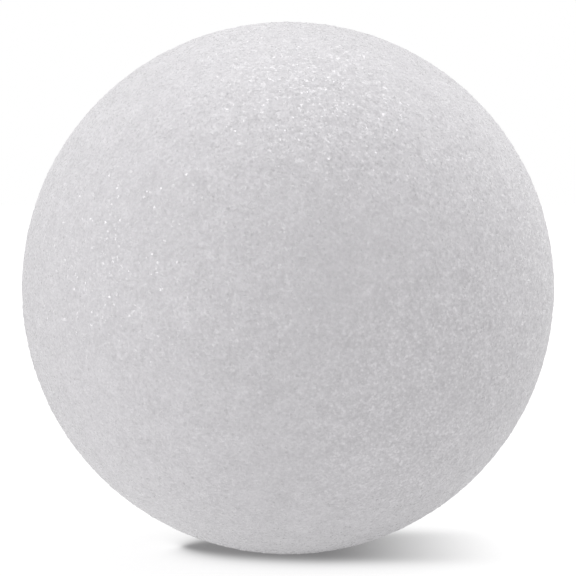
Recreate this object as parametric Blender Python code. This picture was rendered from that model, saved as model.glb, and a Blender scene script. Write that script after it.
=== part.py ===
"""A craft ball of extruded polystyrene foam.

The real ball is ground round from one block of foam, so it is one solid, with no seam
and no core. Grinding opens the cells of the foam, and their pits leave the whole
surface finely rough. Metres, +Z up, with the origin at the middle of the ball.
"""

from random import Random

import bmesh
import bpy
from mathutils import Vector

# Driving dimensions
BALL_DIAMETER = 0.120
PIT_DEPTH = 0.0006  # from the ground sphere down to the floor of the deepest pits
PIT_PITCH = 0.0045  # from the middle of one pit to the next
CORNER_SHIFT = 0.0007  # how far along each axis a facet's corner may leave the even grid

# Facets along each of the icosahedron's edges, so there are 20 * 22 * 22 facets in all
FACETS_PER_EDGE = 22
SEED = 5

FOAM_COLOUR = (0.80, 0.79, 0.81, 1.0)
FOAM_ROUGHNESS = 0.75


def clear_scene():
    for obj in list(bpy.data.objects):
        bpy.data.objects.remove(obj, do_unlink=True)


def new_collection(name):
    collection = bpy.data.collections.new(name)
    bpy.context.scene.collection.children.link(collection)
    return collection


def foam_material():
    material = bpy.data.materials.new("white_foam")
    material.use_nodes = True
    shader = material.node_tree.nodes["Principled BSDF"]
    shader.inputs["Base Color"].default_value = FOAM_COLOUR
    shader.inputs["Roughness"].default_value = FOAM_ROUGHNESS
    shader.inputs["Metallic"].default_value = 0.0
    material.diffuse_color = FOAM_COLOUR
    return material


def ball_mesh(radius):
    """An icosahedron with each face cut into an uneven grid of small facets."""
    bm = bmesh.new()
    bmesh.ops.create_icosphere(bm, subdivisions=1, radius=radius)
    bmesh.ops.subdivide_edges(
        bm, edges=bm.edges, cuts=FACETS_PER_EDGE - 1, use_grid_fill=True
    )
    for vert in bm.verts:
        vert.co.normalize()
        vert.co *= radius
    # The grinding leaves no pattern, so the corners leave their even places
    draw = Random(SEED)
    for vert in bm.verts:
        vert.co += Vector([draw.uniform(-CORNER_SHIFT, CORNER_SHIFT) for _ in range(3)])
    mesh = bpy.data.meshes.new("foam_ball")
    bm.to_mesh(mesh)
    bm.free()
    mesh.shade_smooth()
    return mesh


def pit_texture():
    """Round cells that are 0 in the middle and rise to about 1 where three of them meet."""
    texture = bpy.data.textures.new("foam_pits", "VORONOI")
    texture.distance_metric = "DISTANCE"
    texture.noise_scale = PIT_PITCH
    return texture


def grind_round(ball, radius):
    cast = ball.modifiers.new("ground_round", "CAST")
    cast.cast_type = "SPHERE"
    cast.factor = 1.0
    cast.size = radius


def open_pits(ball):
    pits = ball.modifiers.new("open_pits", "DISPLACE")
    pits.texture = pit_texture()
    pits.texture_coords = "LOCAL"
    pits.direction = "NORMAL"
    pits.mid_level = 1.0
    pits.strength = PIT_DEPTH


def foam_ball(collection):
    radius = BALL_DIAMETER / 2
    ball = bpy.data.objects.new("foam_ball", ball_mesh(radius))
    ball.data.materials.append(foam_material())
    collection.objects.link(ball)
    grind_round(ball, radius)
    open_pits(ball)
    return ball


def main():
    clear_scene()
    foam_ball(new_collection("polystyrene_ball"))


main()
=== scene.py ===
"""The looks of a craft ball of extruded polystyrene foam, in a plain white studio.

The ball's skin is rebuilt as a fine mesh of cut-open foam cells. Metres, +Z up, in the
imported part's frame, whose origin is the middle of the ball.
"""

from math import cos, radians, sin

import bmesh
import bpy
import numpy as np
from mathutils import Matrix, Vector


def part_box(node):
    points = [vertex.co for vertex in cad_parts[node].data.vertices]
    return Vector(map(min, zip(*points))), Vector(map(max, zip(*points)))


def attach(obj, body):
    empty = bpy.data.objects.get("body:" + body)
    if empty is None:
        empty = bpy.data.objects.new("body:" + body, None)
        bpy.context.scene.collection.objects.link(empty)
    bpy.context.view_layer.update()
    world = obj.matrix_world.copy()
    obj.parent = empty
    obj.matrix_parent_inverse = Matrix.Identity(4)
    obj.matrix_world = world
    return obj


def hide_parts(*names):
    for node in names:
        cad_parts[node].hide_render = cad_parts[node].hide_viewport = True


# The skin's mesh: 20 * FACETS_PER_EDGE ** 2 facets, each about as wide as one cell
FACETS_PER_EDGE = 98
CELL_SHIFT = 0.00020  # how far a facet's corner leaves the even grid, along each axis
CELL_RELIEF = 0.000058  # how far the corners typically stand above or below the sphere
SEED = 11

# The foam's tone: one colour, which wide patches and a fine grain make lighter or darker
FOAM_COLOUR = (0.80, 0.783, 0.811)
PATCH_PITCH = 0.0045
PATCH_DETAIL = 4.0
PATCH_ROUGHNESS = 0.7
PATCH_TONE = 0.28  # from the darkest possible patch to the lightest, as a share of the colour
GRAIN_PITCH = 0.00078
GRAIN_DETAIL = 1.0
GRAIN_MEAN = 0.26  # of the squared noise, and taken off it so that the foam stays as light
GRAIN_TONE = (0.28, 0.47)  # the grain's contrast on most of the ball, and on the lower front right, where it is raised to paint relief shading

# The lower front right, with stronger grain and pale specks as wide as a cut wall: painted relief
# shading and painted glints
PAINTED_SHADING_SIDE = (0.57, -0.73, -0.37)  # the direction of its middle
PAINTED_SHADING_FROM = (0.046, 0.056)  # how far out in that direction it starts and is full
PAINTED_GLINT_SHARE = 0.16  # of the walls there
PAINTED_GLINT_TONE = 0.15

# The cells' cut walls: each leans its own way, and the smoother it is the more it leans
WALL_PITCH = 0.00044
WALL_TILT = 0.27  # the range of a matt wall's lean along each axis, on a normal of length 1
FLAKE_TILT = 0.68  # the same for the smoothest walls
FLAKE_SHARE = 0.68  # of the walls are smoother than matt, though few of them by much
FLAKE_ROUGHNESS = 0.12
FOAM_ROUGHNESS = 0.85
GRAIN_DEPTH = 0.00003

# The refractive index of polystyrene, and the pale rim of rough foam
FOAM_IOR = 1.59
SHEEN_WEIGHT = 0.4
SHEEN_ROUGHNESS = 0.5

# The camera points at the middle of the ball and looks a few degrees down
CAMERA_DISTANCE = 0.60
CAMERA_ELEVATION = radians(4.0)
BALL_SHARE_OF_FRAME = 0.9233  # the outline's diameter as a share of the picture's width
SENSOR_WIDTH_MM = 36.0

# White paper that glows, with one strength where it is seen and a weaker one as light
FLOOR_SIZE = 4.0
FLOOR_COLOUR = (0.35, 0.35, 0.35, 1.0)
FLOOR_GLOW = (0.80, 1.0)  # where it is seen, beside the ball and far from it
GLOW_REACH = (0.1, 0.8)  # the distances from the ball's foot between which it rises
FLOOR_LIGHT = 0.63  # where it lights the ball

# The soft shadow has a round left end, straight sides and a right end that fades away.
# Its sizes are along X and Y, and the third number plays no part.
SHADOW_DEPTH = 0.715  # how much it takes off the floor's glow
SHADOW_LIGHT = 0.47  # what it leaves of FLOOR_LIGHT
SHADOW_MIDDLE = (0.0096, 0.0040, 0.0)  # the middle of the round end
SHADOW_REACH = (0.0338, 0.0220, 1.0)  # from there to where the edge is half dark
SHADOW_SOFTNESS = (0.017, 0.157, 0.0)  # of the edge, as a share of the reach
SHADOW_FADE = (0.006, 0.054)  # where along X the right end starts to fade and is gone

WORLD_LIGHT = 0.335  # the strength of the even light from all round

# The small lamps make the glints at the top and at the left, and the wide panels give the
# soft light. Name: (direction from the ball, width in metres, watts)
LAMPS = {
    "top_lamp": ((0.07, 0.30, 1.0), 0.36, 1.0),
    "top_panel": ((0.05, 0.10, 1.0), 1.2, 5.4),
    "left_lamp": ((-0.98, -0.107, 0.1725), 0.32, 1.65),
    "front_panel": ((-0.6, -0.8, 0.0), 1.0, 3.75),
    "right_panel": ((0.95, 0.3, 0.0), 2.2, 9.3),
}
LAMP_DISTANCE = 1.0


def geodesic_mesh(name, radius):
    """An icosahedron with each face cut into a fine grid."""
    bm = bmesh.new()
    bmesh.ops.create_icosphere(bm, subdivisions=1, radius=radius)
    bmesh.ops.subdivide_edges(
        bm, edges=bm.edges, cuts=FACETS_PER_EDGE - 1, use_grid_fill=True
    )
    mesh = bpy.data.meshes.new(name)
    bm.to_mesh(mesh)
    bm.free()
    return mesh


def roughen(mesh, radius):
    """Puts each corner on the sphere at an uneven place, a little above or below it."""
    draw = np.random.default_rng(SEED)
    places = np.empty(len(mesh.vertices) * 3)
    mesh.vertices.foreach_get("co", places)
    places = places.reshape(-1, 3)
    places *= radius / np.linalg.norm(places, axis=1)[:, None]
    places += draw.uniform(-CELL_SHIFT, CELL_SHIFT, places.shape)
    heights = draw.normal(0.0, CELL_RELIEF, len(places))
    places *= ((radius + heights) / np.linalg.norm(places, axis=1))[:, None]
    mesh.vertices.foreach_set("co", places.ravel())
    mesh.update()


class Nodes:
    """Adds nodes to the tree of a material or the world, each linked to what feeds it."""

    def __init__(self, tree):
        self.tree = tree

    def feed(self, socket, value):
        if isinstance(value, bpy.types.NodeSocket):
            self.tree.links.new(value, socket)
        else:
            socket.default_value = value

    def add(self, kind, settings=None, **inputs):
        node = self.tree.nodes.new(kind)
        for name, value in (settings or {}).items():
            setattr(node, name, value)
        for name, value in inputs.items():
            self.feed(node.inputs[name.replace("_", " ")], value)
        return node

    def work_out(self, kind, operation, values):
        node = self.add(kind, {"operation": operation})
        for socket, value in zip(node.inputs, values):
            self.feed(socket, value)
        return node

    def math(self, operation, *values):
        return self.work_out("ShaderNodeMath", operation, values).outputs["Value"]

    def vector(self, operation, *values):
        return self.work_out("ShaderNodeVectorMath", operation, values).outputs["Vector"]

    def measure(self, operation, *values):
        """A number worked out from vectors."""
        return self.work_out("ShaderNodeVectorMath", operation, values).outputs["Value"]

    def scaled(self, vector, factor):
        node = self.add("ShaderNodeVectorMath", {"operation": "SCALE"}, Scale=factor)
        self.feed(node.inputs[0], vector)
        return node.outputs["Vector"]

    def ramp(self, value, between, onto=(0.0, 1.0), curve="LINEAR"):
        """Takes one range of a value onto another, and holds it beyond both ends."""
        node = self.add(
            "ShaderNodeMapRange",
            {"interpolation_type": curve},
            Value=value,
            From_Min=between[0],
            From_Max=between[1],
            To_Min=onto[0],
            To_Max=onto[1],
        )
        return node.outputs["Result"]

    def noise(self, place, pitch, detail, roughness=0.5):
        node = self.add(
            "ShaderNodeTexNoise",
            Vector=place,
            Scale=1.0 / pitch,
            Detail=detail,
            Roughness=roughness,
        )
        return node.outputs[0]

    def glow(self, strength):
        return self.add("ShaderNodeEmission", Strength=strength).outputs[0]

    def join(self, kind, *shaders, **inputs):
        """Adds or mixes two shaders, which the node's last two sockets take."""
        node = self.add(kind, **inputs)
        for socket, shader in zip(list(node.inputs)[-2:], shaders):
            self.feed(socket, shader)
        return node.outputs[0]


def foam_tone(nodes, place, grain, chance):
    """Wide patches and the grain, with painted relief shading and painted glints on the lower
    front right.
    """
    patches = nodes.noise(place, PATCH_PITCH, PATCH_DETAIL, PATCH_ROUGHNESS)
    tone = nodes.math("MULTIPLY_ADD", patches, PATCH_TONE, 1.0 - PATCH_TONE / 2)
    # Towards the lower front right the grain is stronger, as painted relief shading
    painted_side = nodes.ramp(nodes.measure("DOT_PRODUCT", place, PAINTED_SHADING_SIDE), PAINTED_SHADING_FROM)
    contrast = nodes.math("MULTIPLY_ADD", painted_side, GRAIN_TONE[1] - GRAIN_TONE[0], GRAIN_TONE[0])
    bright = nodes.math("MULTIPLY_ADD", grain, grain, -GRAIN_MEAN)
    tone = nodes.math("MULTIPLY_ADD", bright, contrast, tone)
    # The pale specks there are painted glints
    painted_glint = nodes.math("GREATER_THAN", chance, 1.0 - PAINTED_GLINT_SHARE)
    painted_glint = nodes.math("MULTIPLY", painted_glint, painted_side)
    return nodes.math("MULTIPLY_ADD", painted_glint, PAINTED_GLINT_TONE, tone)


def foam_normal(nodes, walls, grain, chance):
    """The lean of each cut wall, with a grain that is too fine for the mesh."""
    lean = nodes.add("ShaderNodeTexWhiteNoise", Vector=walls.outputs["Position"])
    lean = nodes.vector("SUBTRACT", lean.outputs["Color"], (0.5, 0.5, 0.5))
    tilt = nodes.ramp(chance, (0.0, FLAKE_SHARE), (FLAKE_TILT, WALL_TILT))
    level = nodes.add("ShaderNodeNewGeometry").outputs["Normal"]
    tilted = nodes.vector("ADD", level, nodes.scaled(lean, tilt))
    tilted = nodes.vector("NORMALIZE", tilted)
    bump = nodes.add("ShaderNodeBump", Height=grain, Distance=GRAIN_DEPTH, Normal=tilted)
    return bump.outputs["Normal"]


def foam_material():
    """The cut walls of foam cells, most of them matt and a few smooth enough to glint."""
    material = bpy.data.materials.new("white_foam")
    material.use_nodes = True
    nodes = Nodes(material.node_tree)
    place = nodes.add("ShaderNodeTexCoord").outputs["Object"]
    walls = nodes.add("ShaderNodeTexVoronoi", Vector=place, Scale=1.0 / WALL_PITCH)
    chance = nodes.add("ShaderNodeSeparateColor", Color=walls.outputs["Color"]).outputs
    grain = nodes.noise(place, GRAIN_PITCH, GRAIN_DETAIL)
    tone = foam_tone(nodes, place, grain, chance["Green"])
    normal = foam_normal(nodes, walls, grain, chance["Red"])
    roughness = nodes.ramp(
        chance["Red"], (0.0, FLAKE_SHARE), (FLAKE_ROUGHNESS, FOAM_ROUGHNESS), "SMOOTHERSTEP"
    )
    shader = material.node_tree.nodes["Principled BSDF"]
    shader.inputs["IOR"].default_value = FOAM_IOR
    shader.inputs["Sheen Weight"].default_value = SHEEN_WEIGHT
    shader.inputs["Sheen Roughness"].default_value = SHEEN_ROUGHNESS
    nodes.feed(shader.inputs["Base Color"], nodes.scaled(FOAM_COLOUR, tone))
    nodes.feed(shader.inputs["Roughness"], roughness)
    nodes.feed(shader.inputs["Normal"], normal)
    return material


def foam_skin(radius):
    mesh = geodesic_mesh("foam_skin", radius)
    roughen(mesh, radius)
    mesh.materials.append(foam_material())
    mesh.shade_smooth()
    skin = bpy.data.objects.new("foam_skin", mesh)
    bpy.context.scene.collection.objects.link(skin)
    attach(skin, "root")
    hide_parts("foam_ball")


def seen_rays(nodes):
    """1 for the rays by which the camera sees, also in gloss or through glass, and 0 for light."""
    rays = nodes.add("ShaderNodeLightPath").outputs
    seen = nodes.math("MAXIMUM", rays["Is Camera Ray"], rays["Is Glossy Ray"])
    return nodes.math("MAXIMUM", seen, rays["Is Transmission Ray"])


def shadow_shade(nodes, place):
    """How dark the shadow is at a place on the floor: 1 well inside it, and 0 outside."""
    offset = nodes.vector("SUBTRACT", place, SHADOW_MIDDLE)
    # To the right of the round end only the distance along Y counts
    offset = nodes.vector("MINIMUM", offset, (0.0, FLOOR_SIZE, 0.0))
    outwards = nodes.vector("DIVIDE", offset, SHADOW_REACH)
    radius = nodes.measure("LENGTH", outwards)
    softness = nodes.measure("LENGTH", nodes.vector("MULTIPLY", outwards, SHADOW_SOFTNESS))
    # This passes 1 at the edge, and rises the faster there the less soft the edge is
    edge = nodes.math("POWER", radius, nodes.math("DIVIDE", radius, softness))
    along = nodes.add("ShaderNodeSeparateXYZ", Vector=place).outputs["X"]
    fade = nodes.ramp(along, SHADOW_FADE, (1.0, 0.0), "SMOOTHSTEP")
    return nodes.math("DIVIDE", fade, nodes.math("ADD", edge, 1.0))


def floor_material():
    """White paper with the ball's soft shadow on it."""
    material = bpy.data.materials.new("white_floor")
    material.use_nodes = True
    nodes = Nodes(material.node_tree)
    place = nodes.add("ShaderNodeTexCoord").outputs["Object"]
    shade = shadow_shade(nodes, place)
    white = nodes.ramp(nodes.measure("LENGTH", place), GLOW_REACH, FLOOR_GLOW)
    paper = nodes.add("ShaderNodeBsdfDiffuse", Color=FLOOR_COLOUR).outputs[0]
    glow = nodes.glow(nodes.math("MULTIPLY_ADD", shade, -SHADOW_DEPTH, white))
    seen = nodes.join("ShaderNodeAddShader", paper, glow)
    # The paper also lights the ball from below, and less so in its shadow
    light = nodes.math("MULTIPLY_ADD", shade, SHADOW_LIGHT - FLOOR_LIGHT, FLOOR_LIGHT)
    surface = nodes.join("ShaderNodeMixShader", nodes.glow(light), seen, Fac=seen_rays(nodes))
    nodes.feed(material.node_tree.nodes["Material Output"].inputs["Surface"], surface)
    return material


def make_floor(height):
    bpy.ops.mesh.primitive_plane_add(size=FLOOR_SIZE, location=(0, 0, height))
    floor = bpy.context.object
    floor.name = "floor"
    floor.data.materials.append(floor_material())


def make_world():
    """White where it is seen, and a plain even light on the ball."""
    world = bpy.data.worlds.new("studio")
    bpy.context.scene.world = world
    world.use_nodes = True
    nodes = Nodes(world.node_tree)
    background = world.node_tree.nodes["Background"]
    background.inputs["Color"].default_value = (1.0, 1.0, 1.0, 1.0)
    strength = nodes.math("MULTIPLY_ADD", seen_rays(nodes), 1.0 - WORLD_LIGHT, WORLD_LIGHT)
    nodes.feed(background.inputs["Strength"], strength)


def softbox(name, towards, width, watts):
    """A square lamp that faces the ball from the given direction."""
    data = bpy.data.lights.new(name, "AREA")
    data.shape = "SQUARE"
    data.size = width
    data.energy = watts
    lamp = bpy.data.objects.new(name, data)
    bpy.context.scene.collection.objects.link(lamp)
    direction = Vector(towards).normalized()
    lamp.location = direction * LAMP_DISTANCE
    lamp.rotation_euler = direction.to_track_quat("Z", "Y").to_euler()


def make_camera(radius):
    data = bpy.data.cameras.new("camera")
    data.sensor_width = SENSOR_WIDTH_MM
    outline = radius / (CAMERA_DISTANCE**2 - radius**2) ** 0.5
    data.lens = BALL_SHARE_OF_FRAME * SENSOR_WIDTH_MM / 2 / outline
    camera = bpy.data.objects.new("camera", data)
    bpy.context.scene.collection.objects.link(camera)
    camera.location = (
        0.0,
        -CAMERA_DISTANCE * cos(CAMERA_ELEVATION),
        CAMERA_DISTANCE * sin(CAMERA_ELEVATION),
    )
    camera.rotation_euler = (radians(90.0) - CAMERA_ELEVATION, 0.0, 0.0)
    bpy.context.scene.camera = camera


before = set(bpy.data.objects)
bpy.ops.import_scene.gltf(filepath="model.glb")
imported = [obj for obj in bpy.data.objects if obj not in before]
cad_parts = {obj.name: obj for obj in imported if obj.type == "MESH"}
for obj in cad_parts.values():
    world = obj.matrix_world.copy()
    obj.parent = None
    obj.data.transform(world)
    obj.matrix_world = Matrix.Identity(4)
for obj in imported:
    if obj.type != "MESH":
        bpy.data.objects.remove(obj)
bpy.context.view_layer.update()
low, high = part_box("foam_ball")
ball_radius = max(high - low) / 2
foam_skin(ball_radius)
make_floor(low.z)
make_world()
for name, (towards, width, watts) in LAMPS.items():
    softbox(name, towards, width, watts)
make_camera(ball_radius)
bpy.context.scene.view_settings.view_transform = "Standard"
